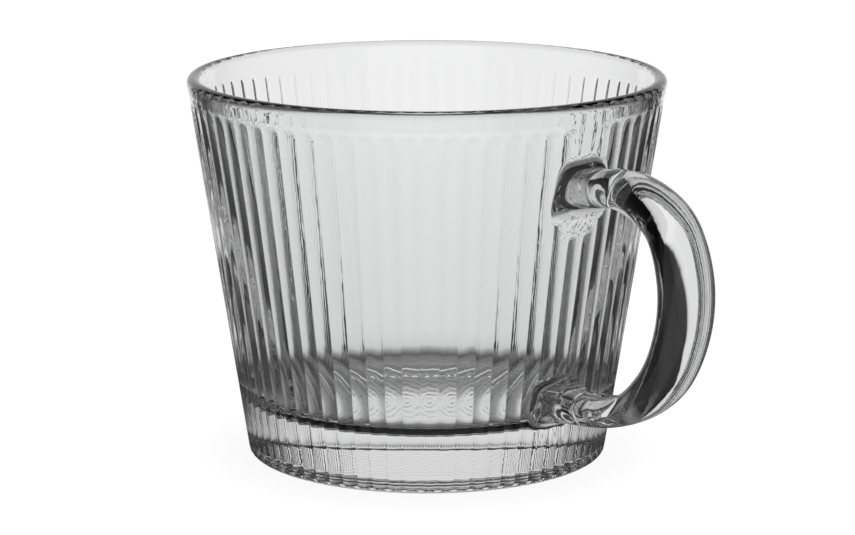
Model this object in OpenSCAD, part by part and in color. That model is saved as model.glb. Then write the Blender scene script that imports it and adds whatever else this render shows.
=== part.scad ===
// Ribbed glass mug: a pressed bowl with two handle necks, and a C handle
// fused onto the necks.
// +Z is up and the handle points along +X. The origin is the middle of the
// face the mug stands on.

/* [Bowl] */
// Height from the table to the top of the rim
height = 80.4; // [70:0.2:95]
// Diameter the outer wall would have at the rim's height
rim_diameter = 100.8; // [90:0.2:112]
// Diameter the outer wall would have at the table
base_diameter = 75.8; // [66:0.2:84]
// Glass thickness of the wall just under the rim
rim_thickness = 2.8; // [2.2:0.1:3.6]
// Glass thickness of the wall at the level of the inner floor
lower_wall_thickness = 5.0; // [3.6:0.1:6]
// Height of the inner floor above the table
floor_height = 11.4; // [9:0.2:15]
// Radius between the inner floor and the inner wall
floor_corner_radius = 5.4; // [3:0.2:8]
// Radius of the edge between the wall and the standing face
foot_edge_radius = 1.0; // [0.6:0.1:2]
// Width of the ring that touches the table
standing_ring_width = 8.0; // [5:0.2:11]
// Depth of the shallow hollow under the base
hollow_depth = 1.4; // [0.6:0.1:2.2]

/* [Ribs] */
// Number of ribs around the wall
rib_count = 72; // [48:1:90]
// Depth of the valley between two ribs, below the ribs' tops
valley_depth = 0.42; // [0.2:0.02:0.7]
// Depth of the valley at the foot
valley_foot_depth = 0.36; // [0.2:0.02:0.6]
// Width of the strip along a rib's crest that lies flush with the wall
rib_crest = 1.0; // [0.6:0.05:1.8]
// Plain height between the top of the rim and the ends of the valleys
plain_band = 4.3; // [3:0.1:7]
// Length over which a valley runs out at its top
valley_runout = 5.0; // [2:0.2:9]
// Number of ribs that end below the upper neck
short_ribs = 3; // [1:2:7]
// Plain height between the upper neck's root and the short valleys
short_rib_gap = 1.6; // [0.4:0.2:4]

/* [Handle] */
// Distance from the mug's axis to the middle of the handle's back
handle_reach = 76.8; // [70:0.2:88]
// Height of the handle's middle line at its top
handle_top = 64.6; // [58:0.2:69]
// Height of the handle's middle line at its bottom
handle_bottom = 17.4; // [15:0.2:24]
// Width of the handle, across the curve
handle_width = 12.0; // [9:0.2:15]
// Thickness of the handle at its thickest, in the curve's plane
handle_thickness = 10.0; // [7:0.2:11]
// Distance from the wall to the upper seam
upper_neck_length = 6.8; // [4:0.2:9]
// Distance from the wall to the lower seam
lower_neck_length = 4.8; // [3:0.2:7]
// How far the upper neck's root flares up and down, and out from the wall
upper_flare = 3.8; // [2:0.2:5]
// How far the lower neck's root flares up and down, and out from the wall
lower_flare = 2.2; // [1.4:0.2:3.4]
// How far each neck's root flares sideways
side_flare = 1.4; // [0.8:0.2:3]
// Depth of the fine groove around each seam
seam_groove = 0.25; // [0.1:0.05:0.5]

/* [Hidden] */
// how far a cut runs past a surface
overrun = 1.0;
round_steps = 144;
edge_steps = 24;
hollow_steps = 720;
section_steps = 32;
path_steps = 8;
flare_steps = 6;
cutting_turns = 3;

// the outer wall is a cone
wall_lean = atan((rim_diameter - base_diameter) / 2 / height);
function wall_radius(z) = base_diameter / 2 + z * tan(wall_lean);

// the inner wall is a steeper cone
inner_top_radius = wall_radius(height) - rim_thickness / cos(wall_lean);
inner_floor_radius = wall_radius(floor_height) - lower_wall_thickness / cos(wall_lean);
inner_lean = atan((inner_top_radius - inner_floor_radius) / (height - floor_height));
inner_base_radius = inner_floor_radius - floor_height * tan(inner_lean);

// the rim is a full round that touches both walls
rim_radius = (wall_radius(height) - inner_top_radius)
    / (1 / cos(wall_lean) + 1 / cos(inner_lean) + tan(wall_lean) - tan(inner_lean));
rim_middle = [wall_radius(height - rim_radius) - rim_radius / cos(wall_lean), height - rim_radius];
foot_middle = [wall_radius(foot_edge_radius) - foot_edge_radius / cos(wall_lean), foot_edge_radius];
floor_corner_height = floor_height + floor_corner_radius;
floor_corner_middle = [
    inner_base_radius + floor_corner_height * tan(inner_lean) - floor_corner_radius / cos(inner_lean),
    floor_corner_height
];
outward = [cos(wall_lean), -sin(wall_lean)];
inner_outward = [cos(inner_lean), -sin(inner_lean)];
// a neck's root starts this deep behind the wall's face
root_depth = rim_thickness;
// a flare starts just behind the wall's face, so that it meets it at an angle
flare_sink = 0.12;

hollow_radius = foot_middle[0] - standing_ring_width;
hollow_sphere = (pow(hollow_radius, 2) + pow(hollow_depth, 2)) / hollow_depth / 2;

// ribs keep their share of the wall's circumference
rib_pitch = 360 / rib_count;
function half_rib(z) = wall_radius(z) * sin(rib_pitch / 2);
function depth_at(z) = mix(valley_foot_depth, valley_depth, z / height);
// A rib is rounded: its side falls gently from the crest strip, then more
// steeply from here, as shares of the valley's half width and depth.
bend_share = 0.39;
bend_depth_share = 0.49;
// a valley's cutter widens almost to the crests' middle, well outside the wall
mouth_share = 0.97;

// The handle's middle line runs from the wall at its top round to the wall at
// its bottom. Each point is a share of the way from the wall to the reach, and
// of the way from the handle's bottom to its top.
path_out_share = [0, 0.44, 0.83, 0.99, 0.97, 0.81, 0.5, 0];
path_up_share = [0.96, 0.99, 0.89, 0.67, 0.43, 0.2, 0.04, 0];
thickness_share = [0.74, 0.81, 0.89, 1, 0.98, 0.86, 0.63, 0.77];
path = [
    for (i = [0:len(path_out_share) - 1])
        let (
            up = mix(handle_bottom, handle_top, path_up_share[i]),
            out = mix(wall_radius(up), handle_reach, path_out_share[i])
        )
        [out, up, handle_thickness / 2 * thickness_share[i]]
];
path_back = [for (i = [len(path) - 1:-1:0]) path[i]];

// where the upper neck's flared root ends below
upper_root_bottom = path[0][1] - path[0][2] - upper_flare;

// how square a section's corners are: 2 is an ellipse
rod_power = 2.1;
root_power = 4;
// how much wider the upper neck is at its lower edge
upper_root_spread_share = 0.16;
lower_root_spread_share = 0;

function mix(a, b, t) = a + (b - a) * t;

// a smooth curve through the points, one unit of u from each to the next
function before(points, i) = i == 0 ? 2 * points[0] - points[1] : points[i - 1];
function after(points, i) = i + 2 == len(points) ? 2 * points[i + 1] - points[i] : points[i + 2];
function piece(points, u) = max(0, min(floor(u), len(points) - 2));
function along(points, u) =
    let (i = piece(points, u), t = u - i, p = points[i], q = points[i + 1])
    let (from = (q - before(points, i)) / 2, to = (after(points, i) - p) / 2)
    p * (2 * t ^ 3 - 3 * t ^ 2 + 1) + from * (t ^ 3 - 2 * t ^ 2 + t)
        + q * (3 * t ^ 2 - 2 * t ^ 3) + to * (t ^ 3 - t ^ 2);
function heading(points, u) =
    let (i = piece(points, u), t = u - i, p = points[i], q = points[i + 1])
    let (from = (q - before(points, i)) / 2, to = (after(points, i) - p) / 2)
    let (way = (q - p) * (6 * t - 6 * t ^ 2) + from * (3 * t ^ 2 - 4 * t + 1) + to * (3 * t ^ 2 - 2 * t))
    atan2(way[1], way[0]);
// a length beside the wall, in units of u
function reach_in(points, length) =
    length / norm([points[1][0] - points[0][0], points[1][1] - points[0][1]]);

function bulge(value, power) = sign(value) * pow(abs(value), 2 / power);

// how far the round wall falls back at a distance to the side
function fall(side, z) = wall_radius(z) - sqrt(pow(wall_radius(z), 2) - pow(side, 2));

// one section across the middle line, as points in space
function section(middle, turn, half_width, half_height, power, spread = 0, wrap = 0) = [
    for (j = [0:section_steps - 1])
        let (
            angle = 360 * j / section_steps,
            rise = half_height * bulge(sin(angle), power),
            side = half_width * bulge(cos(angle), power) * (1 - spread * rise / half_height),
            z = middle[1] + rise * cos(turn)
        )
        [middle[0] - rise * sin(turn) - wrap * fall(side, z), side, z]
];

function rod_section(points, u, inset = 0) =
    let (p = along(points, u))
    section(p, heading(points, u), handle_width / 2 - inset, p[2] - inset, rod_power);

// how far a neck's root has spread at a distance from where its flare starts
function flare_at(flare, distance) =
    distance >= flare ? 0 : flare - sqrt(pow(flare, 2) - pow(flare - max(distance, 0), 2));

function neck_section(points, length, flare, spread, distance) =
    let (
        t = max(distance, 0) / length,
        u = reach_in(points, distance),
        p = along(points, max(u, 0)) + (distance < 0 ? (points[1] - points[0]) * u : [0, 0, 0]),
        turn = mix(-wall_lean, heading(points, max(u, 0)), t),
        more = flare_at(flare, distance + flare_sink)
    )
    section(
        p, turn, handle_width / 2 + more * side_flare / flare, p[2] + more,
        mix(root_power, rod_power, t), spread * (1 - t), 1 - t
    );

bowl();
handle();

module outer_profile() {
    rim_outer = rim_middle + outward * rim_radius;
    rim_inner = rim_middle - inner_outward * rim_radius;
    foot_outer = foot_middle + outward * foot_edge_radius;
    polygon([[0, 0], [foot_middle[0], 0], foot_outer, rim_outer, rim_inner, [0, rim_inner[1]]]);
    translate(rim_middle) circle(r = rim_radius, $fn = edge_steps);
    translate(foot_middle) circle(r = foot_edge_radius, $fn = edge_steps);
}

module cavity_profile() {
    corner = floor_corner_middle + inner_outward * floor_corner_radius;
    rim_inner = rim_middle - inner_outward * rim_radius;
    polygon([
        [0, floor_height],
        [floor_corner_middle[0], floor_height],
        corner,
        rim_inner,
        [rim_inner[0], height + overrun],
        [0, height + overrun]
    ]);
    intersection() {
        translate(floor_corner_middle) circle(r = floor_corner_radius, $fn = edge_steps);
        square(height);
    }
}

// the shallow dome under the base
module hollow_profile() {
    intersection() {
        translate([0, hollow_depth - hollow_sphere]) circle(r = hollow_sphere, $fn = hollow_steps);
        translate([0, -overrun]) square([hollow_radius, height]);
    }
}

module loft(rings) {
    count = len(rings[0]);
    last = len(rings) - 1;
    sides = [
        for (k = [0:last - 1], j = [0:count - 1])
            let (a = k * count + j, b = k * count + (j + 1) % count)
            each [[a, b + count, b], [a, a + count, b + count]]
    ];
    polyhedron(
        points = [for (ring = rings) each ring],
        faces = concat(
            [[for (j = [0:count - 1]) j]],
            [[for (j = [count - 1:-1:0]) last * count + j]],
            sides
        ),
        convexity = 4
    );
}

// one section of the valley between two ribs, level with the table
function valley_section(z, depth) =
    let (
        mouth = half_rib(z) * mouth_share,
        edge = half_rib(z) - rib_crest / 2,
        bend = edge * bend_share,
        rise = max(flare_sink / 2, depth * bend_depth_share * (mouth - edge) / (edge - bend))
    )
    [
        for (p = [
            [mouth, rise], [bend, -depth * bend_depth_share], [0, -depth],
            [-bend, -depth * bend_depth_share], [-mouth, rise], [-mouth, overrun], [mouth, overrun]
        ])
        [wall_radius(z) + p[1] - fall(p[0], z), p[0], z]
    ];

// a valley from below the foot to its run-out at the top
module valley(top) {
    full = top - valley_runout;
    middle = top - valley_runout * 0.4;
    loft([
        valley_section(-overrun, depth_at(-overrun)),
        valley_section(full, depth_at(full)),
        valley_section(middle, depth_at(middle) * 0.7),
        valley_section(top, -flare_sink / 2)
    ]);
}

// Valleys are cut in turns, so that no two cutters of a turn touch.
module ribbed(turn) {
    long_top = height - plain_band;
    short_top = upper_root_bottom - short_rib_gap;
    difference() {
        // the turned wall's seam is at the back, away from the necks
        if (turn == 0) rotate([0, 0, 180]) rotate_extrude($fn = round_steps) outer_profile();
        else ribbed(turn - 1);
        for (i = [turn:cutting_turns:rib_count - 1])
            let (from_handle = min(i, rib_count - 1 - i))
            rotate([0, 0, (i + 0.5) * rib_pitch])
                valley(from_handle * 2 + 1 < short_ribs ? short_top : long_top);
    }
}

module neck(points, length, flare, spread) {
    distances = concat(
        [-root_depth],
        [for (k = [0:flare_steps]) flare * (1 - cos(90 * k / flare_steps)) - flare_sink],
        [length - seam_groove]
    );
    loft(concat(
        [for (d = distances) neck_section(points, length, flare, spread, d)],
        [rod_section(points, reach_in(points, length), seam_groove)]
    ));
}

module bowl() {
    color([0.85, 0.88, 0.88, 0.4])
    difference() {
        union() {
            ribbed(cutting_turns - 1);
            neck(path, upper_neck_length, upper_flare, upper_root_spread_share);
            neck(path_back, lower_neck_length, lower_flare, lower_root_spread_share);
        }
        rotate_extrude($fn = round_steps) cavity_profile();
        rotate_extrude($fn = round_steps) hollow_profile();
    }
}

module handle() {
    upper_seam = reach_in(path, upper_neck_length);
    lower_seam = len(path) - 1 - reach_in(path_back, lower_neck_length);
    groove_start = upper_seam + reach_in(path, seam_groove);
    groove_end = lower_seam - reach_in(path_back, seam_groove);
    steps = (len(path) - 1) * path_steps;
    color([0.8, 0.86, 0.86, 0.4])
    loft(concat(
        [rod_section(path, upper_seam, seam_groove)],
        [for (k = [0:steps]) rod_section(path, mix(groove_start, groove_end, k / steps))],
        [rod_section(path, lower_seam, seam_groove)]
    ));
}
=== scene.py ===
import math

import bmesh
import bpy
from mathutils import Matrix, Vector


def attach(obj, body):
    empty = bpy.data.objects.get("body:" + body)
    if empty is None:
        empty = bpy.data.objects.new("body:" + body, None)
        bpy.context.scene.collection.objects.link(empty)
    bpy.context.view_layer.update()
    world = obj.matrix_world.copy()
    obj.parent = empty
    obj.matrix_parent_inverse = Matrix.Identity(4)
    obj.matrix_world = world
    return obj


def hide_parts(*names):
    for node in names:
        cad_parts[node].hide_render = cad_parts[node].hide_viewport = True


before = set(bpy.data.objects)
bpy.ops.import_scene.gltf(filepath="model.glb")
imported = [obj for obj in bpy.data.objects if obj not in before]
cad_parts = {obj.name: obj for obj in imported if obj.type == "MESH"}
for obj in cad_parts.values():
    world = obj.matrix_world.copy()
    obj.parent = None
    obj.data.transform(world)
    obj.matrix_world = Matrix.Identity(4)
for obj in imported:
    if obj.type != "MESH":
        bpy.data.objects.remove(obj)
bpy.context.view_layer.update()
scene = bpy.context.scene
scene.view_settings.view_transform = "Standard"
mm = 0.001
print("frame loaded:", sorted(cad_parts))


# the glass bowl: sizes in millimetres, up from the table and out from the cup's axis
bowl = {
    "height": 80.4,
    "rimRadius": 50.4,        # where the outer wall would reach the rim's height
    "footRadius": 37.9,
    "rimThickness": 2.8,
    "lowerThickness": 5.0,    # of the wall at the floor's height
    "floorHeight": 11.4,
    "floorCorner": 5.4,       # radius of the round between floor and wall
    "footEdge": 1.0,          # radius of the edge between wall and standing face
    "standingRing": 8.0,      # width of the ring that touches the table
    "ringEdge": 0.4,
    "hollowDepth": 1.4,
    "hollowShoulder": 4.5,    # width of the round at the hollow's side
    # heights of the mesh's rows on the wall, besides the close ones at the valleys' ends
    "lipRows": [0.6, 1.4],
    "wallRows": [71.5, 70, 67, 62, 57],
    "lowerRows": [48.5, 42, 36, 30, 24, 18, 12, 7, 3.5, 2],
    "cornerSteps": 10,
    "rimSteps": 16,
    "edgeSteps": 7,
    "stepsPerRib": 12,
    "sharpAngle": 55,
}
rib = {
    "count": 72,
    "valleyDepth": 0.42,      # below the ribs' crests, which lie flush with the wall
    "footDepth": 0.36,
    "roundness": 1.8,         # 1 is a V between two valleys, 2 is a round rib
    "plainBand": 4.3,         # between the rim and the valleys' ends
    "runOut": 3.0,            # the valleys run out over this height
    "shortCount": 3,          # this many ribs end below the upper neck,
    "shortTop": 53.6,         # at this height
    "softEdge": 0.02,         # how much the fire-polished edges are rounded
    "bunch": 0.35,            # how much the mesh lines crowd towards the valleys
    "endRow": 0.3,            # distance between the mesh's rows at the valleys' ends
    "shortRow": 0.4,          # and at the short valleys' ends
    "within": 2.2,            # only points this near the outside are moved
    "lip": 2.0,               # and none this near the rim
}

lean = math.atan((bowl["rimRadius"] - bowl["footRadius"]) / bowl["height"])


def wallRadius(z):
    return bowl["footRadius"] + z * math.tan(lean)


innerTop = wallRadius(bowl["height"]) - bowl["rimThickness"] / math.cos(lean)
innerFloor = wallRadius(bowl["floorHeight"]) - bowl["lowerThickness"] / math.cos(lean)
innerLean = math.atan((innerTop - innerFloor) / (bowl["height"] - bowl["floorHeight"]))
innerBase = innerFloor - bowl["floorHeight"] * math.tan(innerLean)
pitch = 2 * math.pi / rib["count"]


def ribSurface(z, angle):
    # how far from the axis the ribbed wall lies at this height and angle
    crest, valley = round(angle / pitch), math.floor(angle / pitch)
    fromHandle = min(valley % rib["count"], (-1 - valley) % rib["count"])
    top = bowl["height"] - rib["plainBand"]
    if fromHandle * 2 + 1 < rib["shortCount"]:
        top = rib["shortTop"]
    half = wallRadius(z) * math.sin(pitch / 2)
    side = wallRadius(z) * math.sin(angle - crest * pitch)
    pastEnd = max(0, z - top + half)
    share = min(1, math.hypot(side, pastEnd) / half) ** rib["roundness"]
    left = max(0, min(1, (top - z) / rib["runOut"]))
    depth = rib["footDepth"] + (rib["valleyDepth"] - rib["footDepth"]) * z / bowl["height"]
    return wallRadius(z) - depth * share * (1 - (1 - left) ** 2)


def lineTo(bm, vert, radius, z):
    made = bmesh.ops.extrude_vert_indiv(bm, verts=[vert])
    new = made["verts"][0]
    new.co = Vector((radius * mm, 0, z * mm))
    return new


def arcTo(bm, vert, centre, angle, steps):
    made = bmesh.ops.spin(
        bm, geom=[vert], cent=(centre[0] * mm, 0, centre[1] * mm), axis=(0, 1, 0),
        angle=angle, steps=steps, use_duplicate=False, use_merge=False, dvec=(0, 0, 0),
    )
    return [g for g in made["geom_last"] if isinstance(g, bmesh.types.BMVert)][0]


def bowlMesh():
    # the cross-section runs from the middle of the inner floor over the rim to the base
    bm = bmesh.new()
    corner = bowl["floorCorner"]
    cornerZ = bowl["floorHeight"] + corner
    cornerR = innerBase + cornerZ * math.tan(innerLean) - corner / math.cos(innerLean)
    rim = (wallRadius(bowl["height"]) - innerTop) / (
        1 / math.cos(lean) + 1 / math.cos(innerLean) + math.tan(lean) - math.tan(innerLean)
    )
    rimZ = bowl["height"] - rim
    rimR = wallRadius(rimZ) - rim / math.cos(lean)
    footR = wallRadius(bowl["footEdge"]) - bowl["footEdge"] / math.cos(lean)
    ringR = footR - bowl["standingRing"]

    at = bm.verts.new((0, 0, bowl["floorHeight"] * mm))
    for share in (0.3, 0.6, 0.85, 1):
        at = lineTo(bm, at, cornerR * share, bowl["floorHeight"])
    at = arcTo(bm, at, (cornerR, cornerZ), innerLean - math.pi / 2, bowl["cornerSteps"])
    start = cornerZ + corner * math.sin(-innerLean)
    end = rimZ + rim * math.sin(innerLean)
    for share in (0.1, 0.25, 0.5, 0.75, 0.9, 1):
        z = start + (end - start) * share
        at = lineTo(bm, at, innerBase + z * math.tan(innerLean), z)
    at = arcTo(bm, at, (rimR, rimZ), math.pi - innerLean + lean, bowl["rimSteps"])
    rimEnd = rimZ - rim * math.sin(lean)
    footEnd = bowl["footEdge"] * (1 - math.sin(lean))
    ribTop = bowl["height"] - rib["plainBand"]
    rows = [rimEnd - below for below in bowl["lipRows"]]
    rows += [ribTop + rib["endRow"] - rib["endRow"] * k for k in range(12)]
    rows += bowl["wallRows"]
    rows += [rib["shortTop"] + rib["shortRow"] - rib["shortRow"] * k for k in range(9)]
    rows += bowl["lowerRows"] + [footEnd]
    for z in rows:
        at = lineTo(bm, at, wallRadius(z), z)
    at = arcTo(bm, at, (footR, bowl["footEdge"]), math.pi / 2 + lean, bowl["edgeSteps"])
    at = lineTo(bm, at, ringR + bowl["ringEdge"], 0)
    shoulder = bowl["hollowShoulder"]
    flatR = ringR - shoulder
    for turn in (90, 78, 66, 54, 42, 30, 20, 10, 0):
        turn = math.radians(turn)
        at = lineTo(bm, at, flatR + shoulder * math.sin(turn), bowl["hollowDepth"] * math.cos(turn))
    for share in (0.75, 0.5, 0.25, 0):
        at = lineTo(bm, at, flatR * share, bowl["hollowDepth"])

    bmesh.ops.spin(
        bm, geom=bm.verts[:] + bm.edges[:], cent=(0, 0, 0), axis=(0, 0, 1), angle=2 * math.pi,
        steps=rib["count"] * bowl["stepsPerRib"], use_merge=True, use_duplicate=False,
        dvec=(0, 0, 0),
    )
    bmesh.ops.remove_doubles(bm, verts=bm.verts, dist=1e-7)
    # the wall's points are pulled in to the ribs, with a soft change at the edges
    for v in bm.verts:
        radius = math.hypot(v.co.x, v.co.y) / mm
        z = v.co.z / mm
        angle = math.atan2(v.co.y, v.co.x)
        share = 2 * (angle / pitch - round(angle / pitch))
        angle += share * rib["bunch"] * (1 - share ** 2) * pitch / 2
        if radius > wallRadius(z) - rib["within"] and 0 < z < bowl["height"] - rib["lip"]:
            over = radius - ribSurface(z, angle)
            radius -= (over + math.sqrt(over ** 2 + 4 * rib["softEdge"] ** 2)) / 2
        v.co.xy = (radius * mm * math.cos(angle), radius * mm * math.sin(angle))
    bmesh.ops.recalc_face_normals(bm, faces=bm.faces)
    return bm


# the handle, and the two short necks on the bowl that it is fused onto
handle = {
    "reach": 76.8,            # from the cup's axis to the middle of the handle's back
    "top": 64.6,
    "bottom": 17.4,
    "width": 12.0,
    "thickness": 10.0,
    # points on the path from the upper end: how far out, how high and how thick
    "outShare": [0, 0.44, 0.83, 0.99, 0.97, 0.81, 0.5, 0],
    "upShare": [0.96, 0.99, 0.89, 0.67, 0.43, 0.2, 0.04, 0],
    "thicknessShare": [0.74, 0.81, 0.89, 1, 0.98, 0.86, 0.63, 0.77],
    "seamGroove": 0.25,       # depth of the fine line round each fused joint
    "grooveEdge": 0.1,
    "grooveLength": 0.15,
    "skin": 0.02,             # the rod is drawn this much thinner, to stay in the solid's box
    "around": 48,
    "along": 96,
}
necks = {
    "upper": {"length": 6.8, "flare": 3.8, "spread": 0.16},
    "lower": {"length": 4.8, "flare": 2.2, "spread": 0},
    "sideFlare": 1.4,
    "rootPower": 4,           # the section is squarish at the wall
    "rodPower": 2.1,          # and nearly an ellipse in the handle
    "sink": 0.12,
    "rootDepth": 1.6,         # how far a neck reaches into the wall
    "steps": 14,
    "beforeSeam": [1.2, 0.45],
}


def mix(a, b, t):
    return a + (b - a) * t


def handlePath():
    points = []
    for out, up, thick in zip(handle["outShare"], handle["upShare"], handle["thicknessShare"]):
        z = mix(handle["bottom"], handle["top"], up)
        x = mix(wallRadius(z), handle["reach"], out)
        points.append(Vector((x, z, handle["thickness"] / 2 * thick)))
    return points


def onPath(points, u):
    # a smooth curve through the points: the place at u and its heading, seen from the side
    i = max(0, min(int(math.floor(u)), len(points) - 2))
    t = u - i
    p, q = points[i], points[i + 1]
    before = points[i - 1] if i else p * 2 - q
    after = points[i + 2] if i + 2 < len(points) else q * 2 - p
    a, b = (q - before) / 2, (after - p) / 2
    place = (
        p * (2 * t ** 3 - 3 * t ** 2 + 1) + a * (t ** 3 - 2 * t ** 2 + t)
        + q * (3 * t ** 2 - 2 * t ** 3) + b * (t ** 3 - t ** 2)
    )
    way = (q - p) * (6 * t - 6 * t ** 2) + a * (3 * t ** 2 - 4 * t + 1) + b * (3 * t ** 2 - 2 * t)
    return place, math.atan2(way.y, way.x)


def bulge(value, power):
    return math.copysign(abs(value) ** (2 / power), value)


def firstSpan(points):
    return (points[1].xy - points[0].xy).length


def sectionPoints(place, turn, halfWidth, halfHeight, power, spread=0, wrap=0):
    points = []
    for j in range(handle["around"]):
        angle = 2 * math.pi * j / handle["around"]
        rise = halfHeight * bulge(math.sin(angle), power)
        side = halfWidth * bulge(math.cos(angle), power) * (1 - spread * rise / halfHeight)
        z = place.y + rise * math.cos(turn)
        fall = wallRadius(z) - math.sqrt(wallRadius(z) ** 2 - side ** 2)
        points.append(Vector((place.x - rise * math.sin(turn) - wrap * fall, side, z)) * mm)
    return points


def rodRing(points, u, inset=0):
    place, turn = onPath(points, u)
    return sectionPoints(
        place, turn, handle["width"] / 2 - inset, place.z - inset, necks["rodPower"]
    )


def flareAt(flare, distance):
    if distance >= flare:
        return 0
    return flare - math.sqrt(flare ** 2 - (flare - max(distance, 0)) ** 2)


def neckRing(points, size, distance):
    unit = firstSpan(points)
    t = max(distance, 0) / size["length"]
    place, turn = onPath(points, max(distance, 0) / unit)
    if distance < 0:
        place = place + (points[1] - points[0]) * (distance / unit)
    more = flareAt(size["flare"], distance + necks["sink"])
    return sectionPoints(
        place, mix(-lean, turn, t),
        handle["width"] / 2 + more * necks["sideFlare"] / size["flare"], place.z + more,
        mix(necks["rootPower"], necks["rodPower"], t), size["spread"] * (1 - t), 1 - t,
    )


def loftMesh(rings, seamAtStart, seamAtEnd):
    # a circle is extruded from ring to ring; faces at a seam get the second material
    bm = bmesh.new()
    made = bmesh.ops.create_circle(bm, cap_ends=True, segments=len(rings[0]), radius=mm)
    ring = made["verts"]
    firstCap = bm.faces[:][0]
    edges = bm.edges[:]
    for v, co in zip(ring, rings[0]):
        v.co = co
    for points in rings[1:]:
        made = bmesh.ops.extrude_edge_only(bm, edges=edges)
        fresh = {g for g in made["geom"] if isinstance(g, bmesh.types.BMVert)}
        edges = [
            g for g in made["geom"]
            if isinstance(g, bmesh.types.BMEdge) and all(v in fresh for v in g.verts)
        ]
        ring = [
            next(e.other_vert(v) for e in v.link_edges if e.other_vert(v) in fresh)
            for v in ring
        ]
        for v, co in zip(ring, points):
            v.co = co
    lastCap = bmesh.ops.edgeloop_fill(bm, edges=edges)["faces"][0]
    firstCap.material_index = 1 if seamAtStart else 0
    lastCap.material_index = 1 if seamAtEnd else 0
    bmesh.ops.recalc_face_normals(bm, faces=bm.faces)
    return bm


def meshObject(name, bm, materials):
    mesh = bpy.data.meshes.new(name)
    for face in bm.faces:
        face.smooth = True
    bm.to_mesh(mesh)
    bm.free()
    for material in materials:
        mesh.materials.append(material)
    piece = bpy.data.objects.new(name, mesh)
    scene.collection.objects.link(piece)
    return piece


# clear pressed glass, and the marks that the mould leaves in it
glassLook = {
    "tone": (0.975, 0.98, 0.978, 1),
    "ior": 1.5,
    "roughness": 0.0,
    "wave": 0.05,
    "waveSize": 220,
    "streaks": 0.16,
    "rings": 0.85,
}
markLook = {
    "waveStretch": (1, 1, 0.35),         # a small last number draws the pattern out upright
    "waveDetail": 1.5,
    "streakStretch": (6, 6, 0.5),
    "streakDetail": 1,
    "ringScale": 85,
    "ringWander": 4,
    "ringHeights": (0.0022, 0.0032),     # the rings fade out between these heights
    "ringReach": (0.026, 0.029),         # and between these distances from the axis
    "relief": 0.001,
}


def addNode(nodes, links, kind, inputs, operation=None):
    node = nodes.new(kind)
    if operation:
        node.operation = operation
    for socket, value in inputs.items():
        if isinstance(value, bpy.types.NodeSocket):
            links.new(value, node.inputs[socket])
        else:
            node.inputs[socket].default_value = value
    return node


def addSockets(group, ends, kind, names):
    for name in names:
        group.interface.new_socket(name, in_out=ends, socket_type="NodeSocket" + kind)


def waveGroup():
    # the unevenness of pressed glass: gentle waves and fine streaks drawn out up and down,
    # and the turning marks of the mould on the underside
    group = bpy.data.node_groups.new("pressedGlassWaves", "ShaderNodeTree")
    addSockets(group, "INPUT", "Float", ("Strength", "Size", "Streaks", "Rings"))
    addSockets(group, "OUTPUT", "Vector", ("Normal",))
    nodes, links = group.nodes, group.links
    given = nodes.new("NodeGroupInput")
    out = nodes.new("NodeGroupOutput")
    place = nodes.new("ShaderNodeTexCoord").outputs["Object"]

    def add(kind, inputs, operation=None):
        return addNode(nodes, links, kind, inputs, operation)

    def drawnNoise(stretch, detail):
        drawn = add("ShaderNodeMapping", {"Vector": place, "Scale": stretch})
        noise = add("ShaderNodeTexNoise", {
            "Vector": drawn.outputs["Vector"], "Scale": given.outputs["Size"], "Detail": detail})
        return noise.outputs["Fac"]

    def combine(operation, first, second):
        return add("ShaderNodeMath", {0: first, 1: second}, operation).outputs["Value"]

    def fadeOut(value, full, gone):
        fade = add("ShaderNodeMapRange", {
            "Value": value, "From Min": full, "From Max": gone, "To Min": 1, "To Max": 0})
        return fade.outputs["Result"]

    rings = add("ShaderNodeTexWave", {
        "Vector": place, "Scale": markLook["ringScale"], "Distortion": markLook["ringWander"],
        "Detail": 1, "Detail Scale": 1.5})
    rings.wave_type = "RINGS"
    rings.rings_direction = "Z"
    height = add("ShaderNodeSeparateXYZ", {"Vector": place}).outputs["Z"]
    flat = add("ShaderNodeVectorMath", {0: place, 1: (1, 1, 0)}, "MULTIPLY")
    reach = add("ShaderNodeVectorMath", {0: flat.outputs["Vector"]}, "LENGTH")
    under = combine(
        "MULTIPLY", fadeOut(height, *markLook["ringHeights"]),
        fadeOut(reach.outputs["Value"], *markLook["ringReach"]),
    )
    marks = combine("MULTIPLY", rings.outputs["Fac"], under)
    marks = combine("MULTIPLY", marks, given.outputs["Rings"])
    streaks = drawnNoise(markLook["streakStretch"], markLook["streakDetail"])
    streaks = combine("MULTIPLY", streaks, given.outputs["Streaks"])
    waves = drawnNoise(markLook["waveStretch"], markLook["waveDetail"])
    relief = combine("ADD", combine("ADD", waves, streaks), marks)
    bump = add("ShaderNodeBump", {
        "Distance": markLook["relief"], "Strength": given.outputs["Strength"], "Height": relief})
    links.new(bump.outputs["Normal"], out.inputs["Normal"])
    return group


pressedWaves = waveGroup()


def glassMaterial(name, look):
    material = bpy.data.materials.new(name)
    material.use_nodes = True
    nodes, links = material.node_tree.nodes, material.node_tree.links
    shader = nodes["Principled BSDF"]
    shader.inputs["Base Color"].default_value = look["tone"]
    shader.inputs["Transmission Weight"].default_value = 1
    shader.inputs["IOR"].default_value = look["ior"]
    shader.inputs["Roughness"].default_value = look["roughness"]
    wave = nodes.new("ShaderNodeGroup")
    wave.node_tree = pressedWaves
    wave.inputs["Strength"].default_value = look["wave"]
    wave.inputs["Size"].default_value = look["waveSize"]
    wave.inputs["Streaks"].default_value = look["streaks"]
    wave.inputs["Rings"].default_value = look["rings"]
    links.new(wave.outputs["Normal"], shader.inputs["Normal"])
    return material


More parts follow.
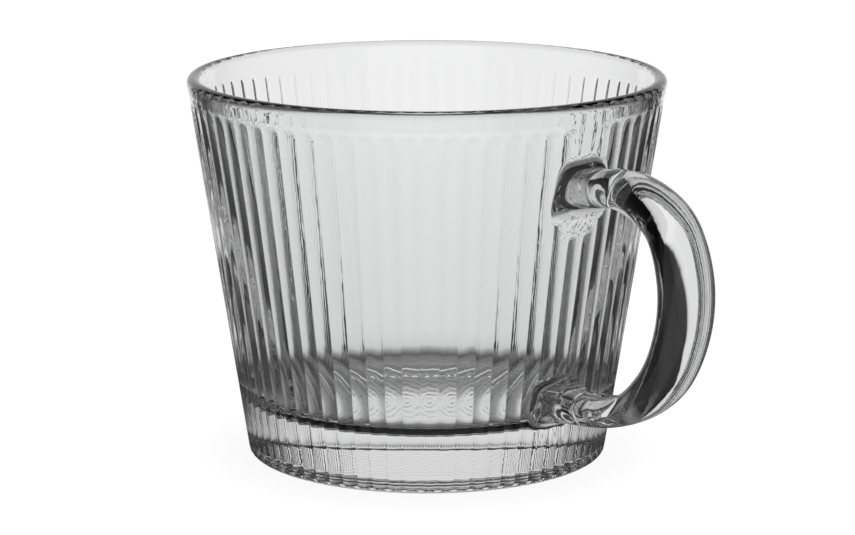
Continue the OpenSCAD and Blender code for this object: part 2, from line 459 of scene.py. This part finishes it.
def seamMaterial():
    # light passes the fused joint unchanged, so the two pieces read as one body of glass
    material = bpy.data.materials.new("fusedJoint")
    material.use_nodes = True
    shader = material.node_tree.nodes["Principled BSDF"]
    shader.inputs["Base Color"].default_value = (1, 1, 1, 1)
    shader.inputs["Alpha"].default_value = 0
    return material


clearGlass = glassMaterial("clearPressedGlass", glassLook)
fusedJoint = seamMaterial()


# the pieces: the handle's path is read from its upper end, and backwards for the lower neck
path = handlePath()
back = path[::-1]
bowlPiece = meshObject("glassBowl", bowlMesh(), [clearGlass, fusedJoint])
print("bowl faces:", len(bowlPiece.data.polygons))


def neckPiece(name, points, size):
    distances = [-necks["rootDepth"]]
    distances += [
        size["flare"] * (1 - math.cos(math.pi / 2 * k / necks["steps"])) - necks["sink"]
        for k in range(necks["steps"] + 1)
    ]
    distances += [size["length"] - short for short in necks["beforeSeam"]]
    unit, groove = firstSpan(points), handle["grooveLength"]
    rings = [neckRing(points, size, d) for d in distances]
    rings.append(rodRing(points, (size["length"] - groove) / unit, handle["grooveEdge"]))
    rings.append(rodRing(points, size["length"] / unit, handle["seamGroove"]))
    return meshObject(name, loftMesh(rings, False, True), [clearGlass, fusedJoint])


def weld(piece, tool):
    # joins a neck to the bowl in one closed mesh
    join = piece.modifiers.new("join", "BOOLEAN")
    join.operation = "UNION"
    join.solver = "EXACT"
    join.object = tool
    view = bpy.context.evaluated_depsgraph_get()
    mesh = bpy.data.meshes.new_from_object(piece.evaluated_get(view))
    piece.modifiers.clear()
    old = piece.data
    piece.data = mesh
    mesh.name = piece.name
    bpy.data.meshes.remove(old)
    bpy.data.objects.remove(tool)


weld(bowlPiece, neckPiece("upperNeck", path, necks["upper"]))
weld(bowlPiece, neckPiece("lowerNeck", back, necks["lower"]))
bowlPiece.data.set_sharp_from_angle(angle=math.radians(bowl["sharpAngle"]))
print("bowl with its necks:", len(bowlPiece.data.polygons))


def makeHandle():
    first = necks["upper"]["length"] / firstSpan(path)
    last = len(path) - 1 - necks["lower"]["length"] / firstSpan(back)
    groove, edge = handle["seamGroove"], handle["grooveEdge"]
    step = handle["grooveLength"] / firstSpan(path)
    rings = [rodRing(path, first, groove), rodRing(path, first + step, edge)]
    for k in range(handle["along"] + 1):
        u = mix(first + 3 * step, last - 3 * step, k / handle["along"])
        rings.append(rodRing(path, u, handle["skin"]))
    rings += [rodRing(path, last - step, edge), rodRing(path, last, groove)]
    return meshObject("glassHandle", loftMesh(rings, True, True), [clearGlass, fusedJoint])


handlePiece = makeHandle()
print("handle faces:", len(handlePiece.data.polygons))
for piece, node in ((bowlPiece, "bowl"), (handlePiece, "handle")):
    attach(piece, "root")
    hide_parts(node)


# the camera that took the photo, and the light round the mug
photo = {
    "azimuth": math.radians(49.3),    # from the front, towards the handle
    "distance": 0.642709,
    "height": 0.179366,
    "down": 0.2153,                   # how far the camera looks down, in radians
    "lens": 130.725,
    "sensor": 36,
    "shift": 0.00065,
}
studio = {
    # how bright a direction looks, by how far it turns from the photo's line of
    # sight: half the sine of that angle, plus a half, so 0 is left and 1 is right
    "sideShares": [0.0, 0.2, 0.22, 0.243, 0.27, 0.5, 0.73, 0.757, 0.78, 0.8, 1.0],
    "sideLevels": [0.05, 0.03, 0.07, 0.84, 0.94, 0.97, 0.94, 0.8, 0.02, 0.01, 0.03],
    "behindCamera": [0.65, 0.01],     # low down and high up behind the camera
    "behindHeights": [0.3, 0.5],
    "behindTurn": [-0.5, 0.1],        # the change from behind to in front
    "upHeights": [0.0, 0.2, 0.36, 0.5, 0.62, 0.8, 0.88, 0.94, 1.0],
    "upLevels": [0.8, 0.8, 0.7, 0.64, 0.53, 0.32, 0.08, 0.024, 0.024],
}
table = {
    "radius": 3,
    "below": 0.00005,
    "tone": (0.15, 0.15, 0.15, 1),
    "inFront": 0.42,          # how bright the painted glow of the table is on the camera's side of the mug
    "near": [0.03, 0.06],     # the painted shade at the sides comes in between these distances
    # brightness by distance from the mug's axis, with painted shade near it that stands for the
    # shade of the thick glass
    "reach": 0.4,
    "places": [0.0, 0.032, 0.045, 0.06, 0.075, 0.1, 0.116, 0.132, 0.16, 0.25, 0.45, 1.0],
    "levels": [0.74, 0.7, 0.12, 0.0, 0.0, 0.0, 0.3, 0.68, 0.76, 0.8, 0.84, 0.95],
    "seen": [0.94, 1.04],     # what the camera sees of that painted shade
}


def addCamera():
    data = bpy.data.cameras.new("photoCamera")
    data.lens = photo["lens"]
    data.sensor_width = photo["sensor"]
    data.shift_x = photo["shift"]
    data.clip_start = 0.01
    data.clip_end = 50
    camera = bpy.data.objects.new("photoCamera", data)
    scene.collection.objects.link(camera)
    a, p = photo["azimuth"], photo["down"]
    away = photo["distance"]
    camera.location = (away * math.sin(a), -away * math.cos(a), photo["height"])
    look = Vector((-math.sin(a) * math.cos(p), math.cos(a) * math.cos(p), -math.sin(p)))
    camera.rotation_euler = look.to_track_quat("-Z", "Y").to_euler()
    scene.camera = camera


def fillRamp(ramp, places, levels):
    while len(ramp.elements) < len(places):
        ramp.elements.new(0.5)
    for element, place, level in zip(ramp.elements, places, levels):
        element.position = place
        element.color = (level, level, level, 1)


def sideGroup():
    # how far a direction turns sideways (0 is left, 1 is right) and away from the camera
    group = bpy.data.node_groups.new("paleScreen", "ShaderNodeTree")
    addSockets(group, "INPUT", "Vector", ("Direction",))
    addSockets(group, "OUTPUT", "Float", ("Sideways", "Away"))
    nodes, links = group.nodes, group.links
    start, end = nodes.new("NodeGroupInput"), nodes.new("NodeGroupOutput")

    def vector(inputs, operation):
        return addNode(nodes, links, "ShaderNodeVectorMath", inputs, operation)

    flat = vector({0: start.outputs["Direction"], 1: (1, 1, 0)}, "MULTIPLY")
    unit = vector({0: flat.outputs["Vector"]}, "NORMALIZE").outputs["Vector"]
    a = photo["azimuth"]
    right = vector({0: unit, 1: (math.cos(a), math.sin(a), 0)}, "DOT_PRODUCT")
    away = vector({0: unit, 1: (-math.sin(a), math.cos(a), 0)}, "DOT_PRODUCT")
    share = addNode(
        nodes, links, "ShaderNodeMath", {0: right.outputs["Value"], 1: 0.5, 2: 0.5}, "MULTIPLY_ADD")
    links.new(share.outputs["Value"], end.inputs["Sideways"])
    links.new(away.outputs["Value"], end.inputs["Away"])
    return group


paleScreen = sideGroup()


def sideLevel(nodes, links, direction, behind):
    # brightness by direction: pale in line with the photo, dark at its sides
    side = nodes.new("ShaderNodeGroup")
    side.node_tree = paleScreen
    links.new(direction, side.inputs["Direction"])
    ramp = addNode(nodes, links, "ShaderNodeValToRGB", {"Fac": side.outputs["Sideways"]})
    fillRamp(ramp.color_ramp, studio["sideShares"], studio["sideLevels"])
    turn = studio["behindTurn"]
    front = addNode(nodes, links, "ShaderNodeMapRange", {
        "Value": side.outputs["Away"], "From Min": turn[0], "From Max": turn[1],
        "To Min": behind, "To Max": 1})
    both = {0: ramp.outputs["Color"], 1: front.outputs["Result"]}
    return addNode(nodes, links, "ShaderNodeMath", both, "MULTIPLY").outputs["Value"]


def addWorld():
    world = bpy.data.worlds.new("studio")
    scene.world = world
    world.use_nodes = True
    nodes, links = world.node_tree.nodes, world.node_tree.links
    nodes.clear()
    out = nodes.new("ShaderNodeOutputWorld")
    background = nodes.new("ShaderNodeBackground")
    background.inputs["Color"].default_value = (1, 1, 1, 1)
    direction = nodes.new("ShaderNodeTexCoord").outputs["Generated"]
    height = addNode(nodes, links, "ShaderNodeSeparateXYZ", {"Vector": direction}).outputs["Z"]
    low, high = studio["behindHeights"]
    behind = addNode(nodes, links, "ShaderNodeMapRange", {
        "Value": height, "From Min": low, "From Max": high,
        "To Min": studio["behindCamera"][0], "To Max": studio["behindCamera"][1]})
    side = sideLevel(nodes, links, direction, behind.outputs["Result"])
    up = addNode(nodes, links, "ShaderNodeValToRGB", {"Fac": height})
    fillRamp(up.color_ramp, studio["upHeights"], studio["upLevels"])
    level = addNode(nodes, links, "ShaderNodeMath", {0: side, 1: up.outputs["Color"]}, "MULTIPLY")
    rays = nodes.new("ShaderNodeLightPath")
    pick = addNode(nodes, links, "ShaderNodeMix", {
        "Factor": rays.outputs["Is Camera Ray"], "A": level.outputs["Value"], "B": 1})
    links.new(pick.outputs["Result"], background.inputs["Strength"])
    links.new(background.outputs["Background"], out.inputs["Surface"])


def addFloor():
    bm = bmesh.new()
    bmesh.ops.create_circle(bm, cap_ends=True, segments=96, radius=table["radius"])
    bmesh.ops.translate(bm, verts=bm.verts, vec=(0, 0, -table["below"]))
    material = bpy.data.materials.new("paleTable")
    material.use_nodes = True
    nodes, links = material.node_tree.nodes, material.node_tree.links

    def add(kind, inputs, operation=None):
        return addNode(nodes, links, kind, inputs, operation)

    shader = nodes["Principled BSDF"]
    # the table itself is dark grey, and most of its brightness is glow
    shader.inputs["Base Color"].default_value = table["tone"]
    shader.inputs["Roughness"].default_value = 0.9
    shader.inputs["Specular IOR Level"].default_value = 0
    place = nodes.new("ShaderNodeTexCoord").outputs["Object"]
    # painted shade on the table: its glow is darker at the sides, seen from the mug, and in a ring
    # under and round the foot
    side = sideLevel(nodes, links, place, table["inFront"])
    spread = add("ShaderNodeVectorMath", {0: place}, "LENGTH").outputs["Value"]
    near = add("ShaderNodeMapRange", {
        "Value": spread, "From Min": table["near"][0], "From Max": table["near"][1]})
    level = add("ShaderNodeMix", {"Factor": near.outputs["Result"], "A": 1, "B": side})
    reach = add("ShaderNodeMath", {0: spread, 1: table["reach"]}, "DIVIDE")
    shade = add("ShaderNodeValToRGB", {"Fac": reach.outputs["Value"]})
    fillRamp(shade.color_ramp, table["places"], table["levels"])
    shade = shade.outputs["Color"]
    level = add("ShaderNodeMath", {0: level.outputs["Result"], 1: shade}, "MULTIPLY")
    # the glass sees the level, with its painted shade and dark sides, and the camera an even white
    # with a soft painted shade round the foot
    rays = nodes.new("ShaderNodeLightPath")
    through = {0: rays.outputs["Is Transmission Ray"], 1: rays.outputs["Is Glossy Ray"]}
    shown = add("ShaderNodeMath", through, "MAXIMUM")
    glow = add("ShaderNodeMath", {0: shown.outputs["Value"], 1: level.outputs["Value"]}, "MULTIPLY")
    seen = add("ShaderNodeMapRange", {
        "Value": shade, "To Min": table["seen"][0], "To Max": table["seen"][1]})
    glow = add("ShaderNodeMath", {
        0: rays.outputs["Is Camera Ray"], 1: seen.outputs["Result"], 2: glow.outputs["Value"],
    }, "MULTIPLY_ADD")
    links.new(glow.outputs["Value"], shader.inputs["Emission Color"])
    shader.inputs["Emission Strength"].default_value = 1
    floor = meshObject("paleTable", bm, [material])


addCamera()
addWorld()
addFloor()
scene.cycles.max_bounces = 32
scene.cycles.transmission_bounces = 32
scene.cycles.glossy_bounces = 12
scene.cycles.transparent_max_bounces = 16
print("camera, world and table ready")
